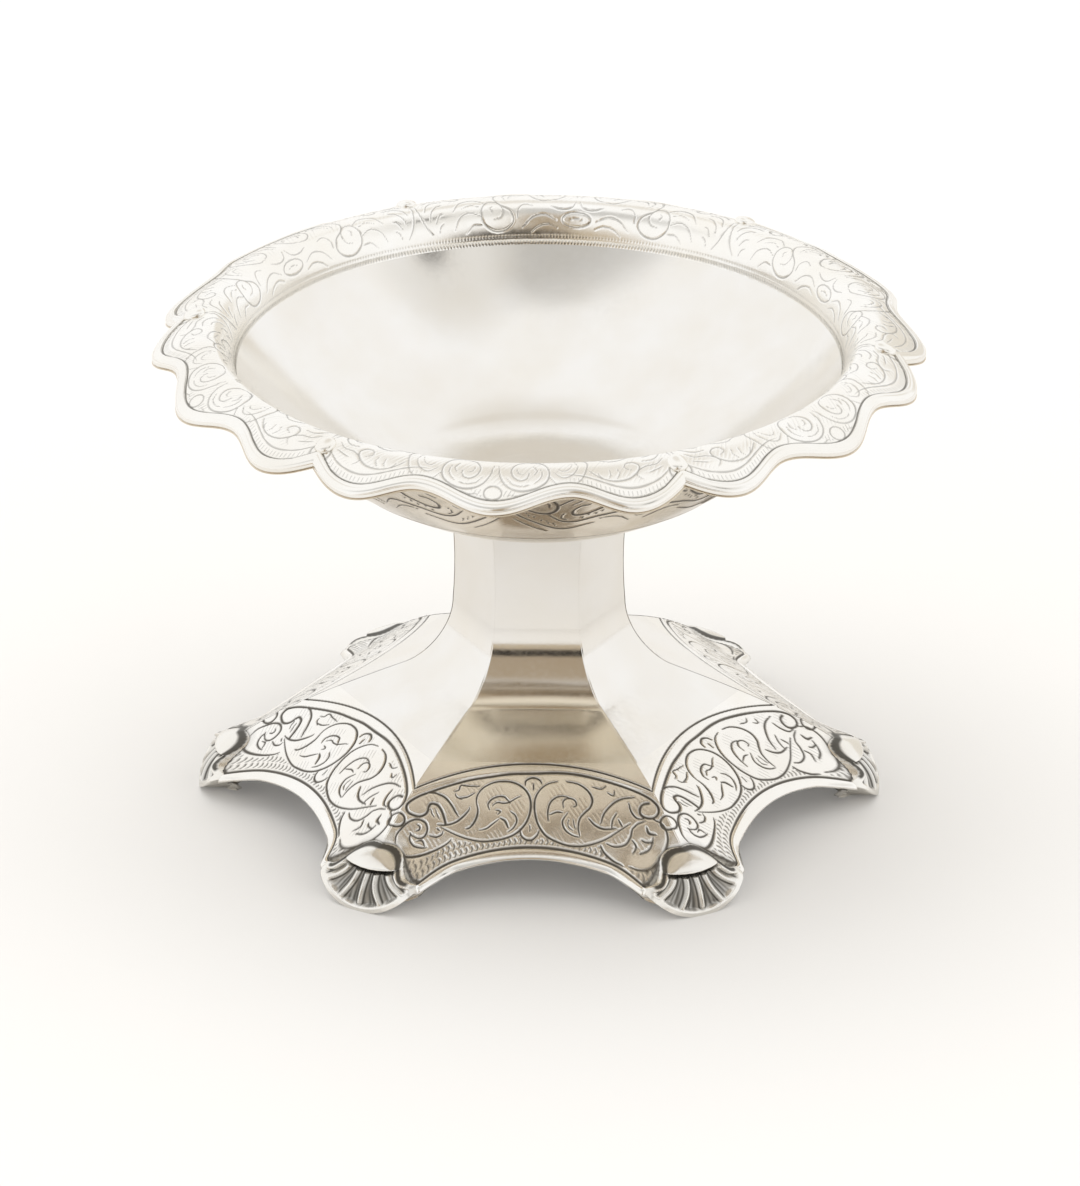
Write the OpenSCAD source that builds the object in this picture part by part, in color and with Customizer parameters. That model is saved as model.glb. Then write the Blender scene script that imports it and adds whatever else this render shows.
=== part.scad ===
// Open salt cellar: a round bowl with a shaped, turned-over rim on a six-sided
// hollow pillar and a six-sided domed foot that stands on six shell feet.
// Millimetres, +Z up, origin on the table under the middle of the foot.

/* [Bowl] */
// Thickness of the bowl's sheet
bowl_gauge = 0.6; // [0.5:0.1:1.2]
// Radius of the flat floor inside the bowl
floor_r = 14.8; // [13:0.1:17]
// Radius of the raised disc in the middle of the floor
disc_r = 8.3; // [7.6:0.1:9]
// Height of the raised disc over the floor
disc_rise = 0.6; // [0.3:0.1:1]
// Radius of the rim's outline, to its outermost lobes
rim_r = 44.8; // [43.8:0.1:45.4]
// Distance of the rim's crest inwards from its outline
crest_inset = 6.6; // [6:0.1:7.4]
// Distance of the milled line, at the foot of the rim, inwards from the crest
mouth_inset = 3.2; // [2.8:0.1:3.8]
// Height of the milled line over the floor
mouth_rise = 15.1; // [12:0.1:18]
// Height of the rim's crest over the milled line
crest_rise = 4.5; // [3.6:0.1:5.4]
// Drop from the crest to the rim's outermost edge
edge_drop = 3.5; // [2.5:0.1:4.5]

/* [Rim outline] */
// Depth of the middle lobe behind the two side lobes in each of the six lengths of rim
mid_lobe_depth = 0.1; // [0:0.1:0.6]
// Depth of the hollows between the lobes
hollow_depth = 2.2; // [1.6:0.1:2.6]
// Depth of the notch where two lengths of rim meet
notch_depth = 2.2; // [1.6:0.1:2.6]
// Angle that the bowl is turned on its pillar
bowl_turn = -5.5; // [-10:0.5:10]

/* [Rim wire] */
// How far the border wire stands above the rim
rim_wire_h = 0.25; // [0.2:0.05:0.6]
// Width of the border wire along the lobes
rim_wire_w = 1.1; // [0.8:0.1:1.4]
// Extra width of the border wire where it runs out into a notch
rim_wire_flare = 0.4; // [0:0.1:0.8]
// Length of the bud that lies over each meeting of the wires
bud_l = 3.2; // [2.6:0.1:4]
// Width of the bud
bud_w = 1.8; // [1.5:0.1:2.4]
// Distance of the middle of each bud inwards from the rim's outline
bud_inset = 4.6; // [4.2:0.1:5]
// Gap between a bud and the rim under it
bud_seat_gap = 0.05; // [0.02:0.01:0.2]

/* [Pillar] */
// Corner radius of the six-sided pillar at its foot
pillar_foot_r = 10.05; // [9.5:0.05:10.6]
// Corner radius of the pillar at its waist
pillar_waist_r = 9.85; // [9.2:0.05:10]
// Corner radius of the pillar under the bowl
pillar_top_r = 10.6; // [10.2:0.1:11.5]
// Height of the pillar
pillar_h = 14; // [10:0.5:18]
// Wall of the pillar, measured square to a flat
pillar_gauge = 1.1; // [0.8:0.1:1.5]

/* [Domed foot] */
// Corner radius of the foot at the table
base_r = 39.6; // [38.6:0.1:41]
// Height of the joint between the foot and the pillar
neck_h = 24; // [21:0.1:26]
// Corner radius where the hollow curve under the pillar runs out
hollow_end_r = 15.5; // [14:0.1:17]
// Height where the hollow curve runs out
hollow_end_h = 15.7; // [14:0.1:17]
// Fall of the foot against its run at the end of the hollow curve
hollow_fall_share = 0.4; // [0.3:0.01:0.5]
// Corner radius of the shoulder where the skirt turns down
shoulder_r = 34.2; // [33:0.1:35.5]
// Height of the shoulder
shoulder_h = 6.6; // [5.6:0.1:7.4]
// Fall of the foot against its run at the shoulder
shoulder_fall_share = 0.66; // [0.55:0.01:0.8]
// Wall of the domed foot, measured square to a side
base_gauge = 1; // [0.7:0.1:1.4]
// Height of each arch in the skirt at its middle
arch_h = 5.2; // [4.5:0.1:6.5]
// Radius of the curve of each arch
arch_r = 34; // [30:0.5:40]
// Distance inwards from the shoulder to the line where the cut for an arch starts
arch_inset = 8.2; // [7:0.1:9]

/* [Skirt wire] */
// Width of the wire along the edge of each arch
skirt_wire_w = 0.9; // [0.8:0.1:1.8]
// How far the skirt wire stands out from the dome
skirt_wire_h = 0.25; // [0.2:0.05:0.6]

/* [Shell feet] */
// Distance inwards from the shoulder to the upright axis that a shell's face is turned about
shell_axis_inset = 18; // [14:0.5:20]
// How far the shell stands out from the corner of the dome
shell_proud = 0.3; // [0.2:0.1:0.6]
// Thickness of the cast shell
shell_gauge = 4.2; // [3.6:0.1:5]
// Radius of the shell's round lower edge, seen from outside
shell_fan_r = 8; // [7.6:0.1:8.6]
// Height of the shell's two side points
shell_side_h = 3.3; // [2.8:0.1:4.2]
// Depth that the shell's lower edge is worn flat
shell_flat = 0.15; // [0.1:0.05:0.3]
// Number of ribs on each shell
rib_count = 5; // [3:1:7]
// Angle between neighbouring ribs
rib_pitch = 31; // [24:1:34]
// Radius of a rib at the shell's lower edge
rib_foot_r = 0.8; // [0.6:0.05:1]
// Radius of a rib under the hood
rib_top_r = 0.4; // [0.3:0.05:0.6]
// Half the width of the hood over the ribs
hood_half_w = 3.2; // [2.8:0.1:3.6]
// Height of the middle of the hood's round top
hood_mid_h = 3.6; // [3.4:0.1:4.2]
// Height of the hood's round top over its middle
hood_half_h = 2; // [1.8:0.1:2.6]
// Radius of the ball that swells the hood
hood_ball_r = 3.6; // [3.3:0.1:4]
// How far the hood stands out from the shell's face
hood_swell = 0.9; // [0.6:0.1:1.2]
// Distance outwards from the shoulder to the ball's place on the shell
hood_offset = 2; // [1.4:0.1:2.6]
// Angle at which the hood looks up
hood_tilt = 36; // [30:1:45]

/* [Hidden] */

$fn = 96;
silver = [0.86, 0.84, 0.8];
bright_silver = [0.93, 0.92, 0.89];
dark_silver = [0.66, 0.64, 0.6];

// Sides of the pillar and foot, lengths of rim, and shells
sides = 6;
side_angle = 360 / sides;
// Ratio of a hexagon's flat radius to its corner radius
flat_share = cos(side_angle / 2);
// Overrun for cuts
over = 0.5;

// Steps in each curve of an outline
curve_steps = 7;
wall_steps = 10;
dome_steps = 5;
wave_steps = 5;
bud_steps = 6;

// A curve between two points, pulled by a handle at each end
function bend(a, b, c, d, steps) = [
    for (i = [0 : steps])
        let (t = i / steps, s = 1 - t)
            s * s * s * a + 3 * s * s * t * b + 3 * s * t * t * c + t * t * t * d
];

// The direction square to a line of points at point i, on its right-hand side
function square_to(points, i) =
    let (
        before = points[max(i - 1, 0)],
        after = points[min(i + 1, len(points) - 1)],
        along = after - before
    ) [along.y, -along.x] / norm(along);

// The same line, moved sideways by a thickness
function beside(points, thickness) = [
    for (i = [0 : len(points) - 1]) points[i] + thickness * square_to(points, i)
];

function reversed(points) = [for (i = [len(points) - 1 : -1 : 0]) points[i]];

// Heights of the joints between the pieces
bowl_z = neck_h + pillar_h;
floor_z = bowl_z + bowl_gauge;
mouth_z = floor_z + mouth_rise;
crest_z = mouth_z + crest_rise;
edge_z = crest_z - edge_drop;
edge_r = rim_r + over;
crest_r = rim_r - crest_inset;
mouth_r = crest_r - mouth_inset;
bud_place_r = rim_r - bud_inset;

// Section of the bowl's upper face, from its middle to its edge
disc_slope_run = disc_rise;
wall_start_share = 0.45;
function wall_z(u) = floor_z + mouth_rise * (wall_start_share * u + (1 - wall_start_share) * u * u);
bowl_wall = [
    for (i = [0 : wall_steps])
        let (u = i / wall_steps) [floor_r + (mouth_r - floor_r) * u, wall_z(u)]
];
rise_lean_share = 0.19;
rise_handle_share = 0.56;
crest_handle_share = 0.5;
rim_rise = bend(
    [mouth_r, mouth_z],
    [mouth_r + rise_lean_share * (crest_r - mouth_r), mouth_z + rise_handle_share * crest_rise],
    [crest_r - crest_handle_share * (crest_r - mouth_r), crest_z],
    [crest_r, crest_z],
    curve_steps
);
fall_handle_share = 0.35;
edge_handle_share = 0.35;
edge_slope_share = 0.42;
rim_fall = bend(
    [crest_r, crest_z],
    [crest_r + fall_handle_share * (edge_r - crest_r), crest_z],
    [edge_r - edge_handle_share * (edge_r - crest_r), edge_z + edge_slope_share * edge_drop],
    [edge_r, edge_z],
    curve_steps
);
function without_first(points) = [for (i = [1 : len(points) - 1]) points[i]];
bowl_face = concat(
    [[0, floor_z + disc_rise], [disc_r - disc_slope_run, floor_z + disc_rise], [disc_r, floor_z]],
    bowl_wall,
    without_first(rim_rise),
    without_first(rim_fall)
);
bowl_back = concat(
    [
        [0, bowl_z + disc_rise],
        [disc_r - disc_slope_run - bowl_gauge / 2, bowl_z + disc_rise],
        [disc_r - bowl_gauge / 2, bowl_z]
    ],
    beside(concat(bowl_wall, without_first(rim_rise), without_first(rim_fall)), bowl_gauge)
);

// Outline of the rim over one sixth: notch, side lobe, hollow, middle lobe, hollow, side lobe, notch
lobe_place_shares = [0, 0.135, 0.305, 0.5, 0.695, 0.865, 1];
function wave_keys(cut) = [
    rim_r - notch_depth - cut - (cut > 0 ? rim_wire_flare : 0),
    rim_r - cut,
    rim_r - hollow_depth - cut,
    rim_r - mid_lobe_depth - cut,
    rim_r - hollow_depth - cut,
    rim_r - cut,
    rim_r - notch_depth - cut - (cut > 0 ? rim_wire_flare : 0)
];
// Radius between two keys; the ends at a notch run straight in, so that the notch stays sharp
function wave_r(keys, k, t) =
    let (
        ease = k == 0 ? sin(90 * t) : k == len(keys) - 2 ? 1 - cos(90 * t) : (1 - cos(180 * t)) / 2
    ) keys[k] + (keys[k + 1] - keys[k]) * ease;
function rim_outline(cut) =
    let (keys = wave_keys(cut)) [
        for (side = [0 : sides - 1], k = [0 : len(keys) - 2], j = [0 : wave_steps - 1])
            let (
                t = j / wave_steps,
                share = lobe_place_shares[k] + (lobe_place_shares[k + 1] - lobe_place_shares[k]) * t,
                a = side_angle * (side + share),
                r = wave_r(keys, k, t)
            ) [r * cos(a), r * sin(a)]
    ];

// Everything up to the upper face of the rim, grown by a height
module under_rim(extra) {
    face = concat([for (p = rim_rise) p + [0, extra]], [for (p = without_first(rim_fall)) p + [0, extra]]);
    rotate_extrude()
        polygon(concat([[crest_r, bowl_z], [mouth_r, bowl_z]], face, [[edge_r, bowl_z]]));
}

module rim_prism(cut) {
    translate([0, 0, bowl_z - over])
        linear_extrude(crest_z - bowl_z + 3 * over)
            polygon(rim_outline(cut));
}

// A six-sided solid from a section of flat radii and heights
module six_sided(section) {
    width = 2 * (base_r + over);
    outline = concat(section, [for (p = reversed(section)) [-p.x, p.y]]);
    intersection_for(k = [0 : sides / 2 - 1])
        rotate([90, 0, 90 + side_angle * k])
            linear_extrude(width, center = true)
                polygon(outline);
}

// Profile of the foot's corner from the neck down to the table: a hollow curve, a long slope, a round skirt
neck_drop_share = 0.48;
neck_run_share = 0.38;
skirt_run_share = 0.29;
skirt_drop_share = 0.52;
hollow_run = (hollow_end_r - pillar_foot_r) * neck_run_share;
slope_run = (shoulder_r - hollow_end_r) / 3;
skirt_run = (base_r - shoulder_r) * skirt_run_share;
function join(a, b) = concat(a, without_first(b));
corner_line = join(
    join(
        bend(
            [pillar_foot_r, neck_h],
            [pillar_foot_r, neck_h - neck_drop_share * (neck_h - hollow_end_h)],
            [hollow_end_r - hollow_run, hollow_end_h + hollow_fall_share * hollow_run],
            [hollow_end_r, hollow_end_h],
            dome_steps
        ),
        bend(
            [hollow_end_r, hollow_end_h],
            [hollow_end_r + slope_run, hollow_end_h - hollow_fall_share * slope_run],
            [shoulder_r - slope_run, shoulder_h + shoulder_fall_share * slope_run],
            [shoulder_r, shoulder_h],
            dome_steps
        )
    ),
    bend(
        [shoulder_r, shoulder_h],
        [shoulder_r + skirt_run, shoulder_h - shoulder_fall_share * skirt_run],
        [base_r, skirt_drop_share * shoulder_h],
        [base_r, 0],
        dome_steps
    )
);
flat_line = [for (p = corner_line) [p.x * flat_share, p.y]];
// The same profile, moved inwards by the wall, from the neck joint down to the table
inner_flat_line = beside(flat_line, base_gauge);
bore_flat = pillar_foot_r * flat_share - pillar_gauge;
dome_inner = concat(
    [[bore_flat, neck_h + over], [bore_flat, neck_h]],
    [for (p = without_first(inner_flat_line)) if (p.x > bore_flat) [p.x, max(p.y, 0)]],
    [[inner_flat_line[len(inner_flat_line) - 1].x, -over]]
);

// Distances from the middle of the foot to the axis of a shell's face and to the middle of its hood
shell_axis_r = shoulder_r - shell_axis_inset;
hood_place_r = shoulder_r + hood_offset;

// The opening under one side of the foot, cut square to that side from between two shells
arch_steps = 10;
arch_start_r = shoulder_r - arch_inset;
arch_half_l = arch_start_r * tan(side_angle / 2) - shell_flat;
module arch_bar(extra) {
    line = [
        for (i = [-arch_steps : arch_steps])
            let (x = arch_half_l * i / arch_steps, r = arch_r + extra)
                [x, arch_h - arch_r + sqrt(r * r - x * x)]
    ];
    translate([0, -arch_start_r, 0])
        rotate([90, 0, 0])
            linear_extrude(base_r + over - arch_start_r)
                polygon(concat([[arch_half_l, -over], [-arch_half_l, -over]], line));
}

// Outline of one shell, seen from outside: a round fan below and a round hood above
fan_mid_h = shell_fan_r - shell_flat;
fan_half_angle = acos((fan_mid_h - shell_side_h) / shell_fan_r);
fan_steps = 5;
hood_steps = 8;
hood_dip = 25;
fan_half_w = shell_fan_r * sin(fan_half_angle);
fan_line = [
    for (i = [-fan_steps : fan_steps])
        let (a = fan_half_angle * i / fan_steps) [shell_fan_r * sin(a), fan_mid_h - shell_fan_r * cos(a)]
];
hood_line = [
    for (i = [0 : hood_steps])
        let (a = -hood_dip + (180 + 2 * hood_dip) * i / hood_steps)
            [hood_half_w * cos(a), hood_mid_h + hood_half_h * sin(a)]
];
shell_outline = concat(fan_line, hood_line);
// The notch that the dome leaves for it, open below
side_line = [
    [-fan_half_w, shell_side_h], [-fan_half_w, -over],
    [fan_half_w, -over], [fan_half_w, shell_side_h]
];
shell_notch = concat(side_line, hood_line);
// The space behind an outline on the +X corner
module shell_prism(outline) {
    translate([shell_axis_r + shell_gauge, 0, 0])
        rotate([90, 0, 90])
            linear_extrude(base_r - shell_axis_r + hood_swell)
                polygon(outline);
}

// The shell's face on the +X corner, filled solid back to its own axis or cut back by a thickness
shell_top_z = hood_mid_h + hood_half_h + hood_swell;
function corner_r(z) = lookup(z, [for (p = corner_line) [p.y, p.x]]);
function shell_r(z) = corner_r(z) - shell_axis_r + shell_proud;
module shell_face(thinner, reach) {
    line = concat(
        [for (p = reversed(corner_line)) if (p.y < shell_top_z) [shell_r(p.y) - thinner, p.y]],
        [[shell_r(shell_top_z) - thinner, shell_top_z]]
    );
    below = [[0, shell_top_z + reach], [0, -reach], [line[0].x, -reach]];
    above = [[line[len(line) - 1].x, shell_top_z + reach]];
    translate([shell_axis_r, 0, 0])
        rotate_extrude()
            polygon(concat(below, line, above));
}
function on_shell(w, z) = [shell_axis_r + sqrt(shell_r(z) * shell_r(z) - w * w), w, z];

// The outer half of a ball, sunk in the top of the shell's face
ball_steps = 8;
module hood() {
    place = [hood_place_r + shell_proud, 0, lookup(hood_place_r, [for (p = corner_line) [p.x, p.y]])];
    half = [
        for (i = [0 : ball_steps])
            let (a = 90 * i / ball_steps) [hood_ball_r * cos(a), hood_ball_r * sin(a)]
    ];
    translate(place)
        rotate([0, hood_tilt, 0])
            translate([0, 0, hood_swell - hood_ball_r])
                rotate_extrude()
                    polygon(concat([[0, 0]], half));
}

// One rib, from under the hood out to the round edge, at an angle from straight down
rib_mid_h = hood_mid_h + rib_foot_r;
rib_drop = fan_mid_h - rib_mid_h;
function rib_reach(turn) =
    sqrt(pow(rib_drop * cos(turn), 2) + pow(shell_fan_r, 2) - pow(rib_drop, 2)) - rib_drop * cos(turn);
module rib(turn) {
    reach = rib_reach(turn) - rib_foot_r / 2;
    top = on_shell(rib_foot_r * sin(turn), rib_mid_h - rib_foot_r * cos(turn));
    foot = on_shell(reach * sin(turn), rib_mid_h - reach * cos(turn));
    run = foot - top;
    translate(top)
        rotate([0, acos(run.z / norm(run)), atan2(run.y, run.x)])
            cylinder(r1 = rib_top_r, r2 = rib_foot_r, h = norm(run));
}

module bowl() {
    color(bright_silver)
        rotate([0, 0, bowl_turn])
            intersection() {
                rotate_extrude()
                    polygon(concat(bowl_face, reversed(bowl_back)));
                rim_prism(0);
            }
}

// Half a spindle that lies on the slope of the rim with its flat side down
module bud() {
    half = [
        for (i = [0 : bud_steps])
            let (a = 180 * i / bud_steps) [bud_w / 2 * sin(a), bud_l / 2 * cos(a)]
    ];
    face = lookup(bud_place_r, [for (p = rim_fall) [p.x, p.y]]);
    inner = lookup(bud_place_r - bud_l / 2, [for (p = rim_fall) [p.x, p.y]]);
    outer = lookup(bud_place_r + bud_l / 2, [for (p = rim_fall) [p.x, p.y]]);
    translate([bud_place_r, 0, face + bud_seat_gap])
        rotate([0, 90 + atan2(inner - outer, bud_l), 0])
            rotate([0, 0, 90])
                rotate_extrude(angle = 180)
                    polygon(half);
}

module rim_wire(i) {
    color(silver)
        rotate([0, 0, bowl_turn + side_angle * i])
            difference() {
                intersection() {
                    difference() {
                        under_rim(rim_wire_h);
                        under_rim(0);
                    }
                    difference() {
                        rim_prism(0);
                        rim_prism(rim_wire_w);
                    }
                }
                translate([-2 * edge_r, -2 * edge_r, bowl_z])
                    cube([4 * edge_r, 2 * edge_r + bud_w / 2, 2 * crest_rise + mouth_rise]);
                rotate([0, 0, side_angle])
                    translate([-2 * edge_r, -bud_w / 2, bowl_z])
                        cube([4 * edge_r, 2 * edge_r, 2 * crest_rise + mouth_rise]);
            }
}

module rim_bud(i) {
    color(bright_silver)
        rotate([0, 0, bowl_turn + side_angle * i])
            bud();
}

module pillar() {
    waist_share = 0.35;
    steps = 8;
    line = [
        for (i = [steps : -1 : 0])
            let (
                t = i / steps,
                below = (waist_share - t) / waist_share,
                above = (t - waist_share) / (1 - waist_share),
                r = t < waist_share
                    ? pillar_waist_r + (pillar_foot_r - pillar_waist_r) * below * below
                    : pillar_waist_r + (pillar_top_r - pillar_waist_r) * above * above
            ) [r * flat_share, neck_h + pillar_h * t]
    ];
    color(silver)
        difference() {
            six_sided(line);
            six_sided([
                [pillar_top_r * flat_share - pillar_gauge, bowl_z + over],
                [pillar_top_r * flat_share - pillar_gauge, bowl_z],
                [pillar_waist_r * flat_share - pillar_gauge, neck_h + pillar_h * waist_share],
                [bore_flat, neck_h],
                [bore_flat, neck_h - over]
            ]);
        }
}

module domed_foot() {
    color(silver)
        difference() {
            six_sided(flat_line);
            six_sided(dome_inner);
            for (i = [0 : sides - 1])
                rotate([0, 0, side_angle * i]) {
                    arch_bar(0);
                    shell_prism(shell_notch);
                }
        }
}

module skirt_wire(i) {
    wider = [for (p = flat_line) p + [skirt_wire_h, 0]];
    color(bright_silver)
        rotate([0, 0, side_angle * i])
            difference() {
                intersection() {
                    difference() {
                        six_sided(wider);
                        six_sided(flat_line);
                    }
                    difference() {
                        arch_bar(skirt_wire_w);
                        arch_bar(0);
                    }
                }
                for (corner = [-90 - side_angle / 2, -90 + side_angle / 2])
                    rotate([0, 0, corner])
                        shell_prism(shell_notch);
            }
}

module shell_foot(i) {
    color(dark_silver)
        rotate([0, 0, side_angle * i])
            difference() {
                intersection() {
                    union() {
                        shell_face(0, 0);
                        for (k = [0 : rib_count - 1])
                            rib(rib_pitch * (k - (rib_count - 1) / 2));
                        hood();
                    }
                    shell_prism(shell_outline);
                    translate([0, -base_r, 0])
                        cube([2 * base_r, 2 * base_r, 2 * base_r]);
                }
                shell_face(shell_gauge, over);
            }
}

bowl();
for (i = [0 : sides - 1]) {
    rim_wire(i);
    rim_bud(i);
    skirt_wire(i);
    shell_foot(i);
}
pillar();
domed_foot();
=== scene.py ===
# Looks of the open salt cellar: chased silver sheet, cast shell feet, plain pale studio.
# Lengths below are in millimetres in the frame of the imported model; new_piece turns them into metres.
import math
import bpy
import numpy as np
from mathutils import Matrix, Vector
from mathutils.kdtree import KDTree


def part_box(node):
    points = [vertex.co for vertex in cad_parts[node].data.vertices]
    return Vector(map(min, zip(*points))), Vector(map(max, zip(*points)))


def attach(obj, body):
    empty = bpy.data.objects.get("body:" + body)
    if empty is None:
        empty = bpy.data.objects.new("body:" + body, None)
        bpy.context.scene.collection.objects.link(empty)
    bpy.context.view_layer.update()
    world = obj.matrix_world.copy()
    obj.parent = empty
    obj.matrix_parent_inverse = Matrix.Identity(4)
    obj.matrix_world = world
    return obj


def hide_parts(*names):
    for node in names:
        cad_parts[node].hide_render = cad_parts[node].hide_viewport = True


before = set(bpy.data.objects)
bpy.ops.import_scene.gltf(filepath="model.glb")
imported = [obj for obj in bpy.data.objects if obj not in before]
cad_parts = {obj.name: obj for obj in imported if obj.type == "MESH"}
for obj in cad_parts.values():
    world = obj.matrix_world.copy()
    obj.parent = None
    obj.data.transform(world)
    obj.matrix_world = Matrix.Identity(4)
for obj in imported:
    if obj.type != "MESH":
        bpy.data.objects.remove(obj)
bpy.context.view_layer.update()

MM = 0.001
SIDES = 6
STEP = math.tau / SIDES
FLAT = math.cos(STEP / 2)


def box_mm(node):
    low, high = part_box(node)
    return np.array(low) / MM, np.array(high) / MM


# Joints between the pieces, from the frame
NECK_Z = box_mm("pillar")[0][2]
BOWL_Z = box_mm("pillar")[1][2]
CREST_Z = box_mm("bowl")[1][2]

# Bowl
GAUGE = 0.6
FLOOR_R, DISC_R, DISC_RISE = 14.8, 8.3, 0.6
MOUTH_R, CREST_R, CREST_RISE, EDGE_DROP = 35.0, 38.2, 4.5, 3.5
LOBE_R, SIDE_LOBE_R, HOLLOW_R, NOTCH_R = 44.7, 44.8, 42.6, 42.6
LOBE_PLACES = np.array([0, 0.135, 0.305, 0.5, 0.695, 0.865, 1])
BOWL_TURN = math.radians(-5.5)
WIRE_W, WIRE_FLARE, FLARE_SHARE = 1.1, 0.4, 0.06
BUD_R, BUD_HALF_L, BUD_HALF_W, BUD_FLATNESS = 40.2, 1.3, 1.15, 0.6
RIM_INSET = 0.04
EDGE_R = SIDE_LOBE_R + 0.5
FLOOR_Z = BOWL_Z + GAUGE
MOUTH_Z = CREST_Z - CREST_RISE

# Pillar and domed foot
PILLAR_FOOT_R, PILLAR_WAIST_R, PILLAR_TOP_R, WAIST_SHARE = 10.05, 9.85, 10.6, 0.35
BASE_R, BASE_GAUGE = 39.6, 1.0
HOLLOW_END_R, HOLLOW_END_Z, HOLLOW_FALL = 15.5, 15.7, 0.4
SHOULDER_R, SHOULDER_Z, SHOULDER_FALL = 34.2, 6.6, 0.66
ARCH_H, ARCH_R, ARCH_END, ARCH_LOW = 5.2, 34.0, 14.5, 0.4
SKIRT_W = 0.9
BAND_R, PLAN_R = 23.5, 25.0
ARRIS, LINING_ARRIS = 0.35, 0.1
# The skirt's run-out to the shells: how far, where it starts and how wide, where it ends and how high
RUN_OUT, RUN_OUT_X, RUN_OUT_W, RUN_OUT_Z, RUN_OUT_H = 2.5, 8.5, 6.0, 6.2, 2.8
# The arch's wires sink into the shells: how far, where it starts, over what length
SINK, SINK_X, SINK_W = 1.3, 12.7, 1.3
# From the middle of a side to a corner, 30 degrees away
CORNER_COS, CORNER_SIN = 0.866, 0.5

# Shells
SHELL_AXIS_R, SHELL_PROUD, SHELL_GAUGE = 16.2, 0.3, 4.2
FAN_R, SHELL_SIDE_Z, SHELL_FLAT = 8.0, 3.3, 0.15
FAN_MID_Z = FAN_R - SHELL_FLAT
# Upper edge of a shell: distance to the side of its middle, height
SHELL_TOP = np.array([(0, 6.35), (1.5, 6.15), (2.8, 5.5), (3.6, 4.75), (4.6, 4.0), (5.7, 3.65), (6.57, 3.3)])
HOOD_W, HOOD_Z, HOOD_RISE, UNDER_HOOD = 3.8, 4.4, 0.9, 0.4
RIDGE_W, FLUTE_DEPTH, HOLLOW_W, HOLLOW_DEPTH, SIDE_GROOVE = 0.32, 0.25, 1.1, 0.45, 0.12

# Engraving: depths of the cuts, height of the band over a panel, depth of the sheet under a shell
RIM_DEPTH, LEAF_DEPTH, PANEL_DEPTH, BAND_HEIGHT, UNDER_SHELL = 0.12, 0.1, 0.11, 0.08, 1.0
# A cut fades out at this many times its width
FADE = 1.3
# Keeps the quads round a closed end from shrinking to nothing
TINY = 0.0005


# Curves
def bend(a, b, c, d, steps=40):
    t = np.linspace(0, 1, steps + 1)[:, None]
    s = 1 - t
    a, b, c, d = (np.array(p, float) for p in (a, b, c, d))
    return s ** 3 * a + 3 * s * s * t * b + 3 * s * t * t * c + t ** 3 * d


def joined(*lines):
    return np.vstack([lines[0]] + [line[1:] for line in lines[1:]])


def lengths(line):
    return np.concatenate([[0], np.cumsum(np.linalg.norm(np.diff(line, axis=0), axis=1))])


def at(line, places):
    """Points of a line at these lengths along it."""
    along = lengths(line)
    return np.stack([np.interp(places, along, line[:, k]) for k in range(line.shape[1])], -1)


def even(line, count):
    return at(line, np.linspace(0, lengths(line)[-1], count))


def smooth_line(points, gap=0.05):
    """A round curve through a few points, in even steps."""
    p = np.array(points, float)
    if len(p) == 2:
        return even(p, max(2, int(lengths(p)[-1] / gap)))
    q = np.vstack([2 * p[0] - p[1], p, 2 * p[-1] - p[-2]])
    t = np.linspace(0, 1, 9)[:-1, None]
    parts = [
        0.5 * (2 * b + (c - a) * t + (2 * a - 5 * b + 4 * c - d) * t ** 2 + (3 * b - 3 * c + d - a) * t ** 3)
        for a, b, c, d in zip(q, q[1:], q[2:], q[3:])
    ]
    line = np.vstack(parts + [p[-1:]])
    return even(line, max(3, int(lengths(line)[-1] / gap)))


def beside(line, distance):
    """The line moved sideways, to the right of its run."""
    run = np.gradient(line, axis=0)
    run /= np.linalg.norm(run, axis=1)[:, None]
    return line + distance * np.stack([run[:, 1], -run[:, 0]], -1)


def ease(x):
    x = np.clip(x, 0, 1)
    return x * x * (3 - 2 * x)


# Meshes
def grid_normals(grid):
    n = np.cross(np.gradient(grid, axis=0), np.gradient(grid, axis=1))
    return n / (np.linalg.norm(n, axis=2)[:, :, None] + 1e-12)


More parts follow.
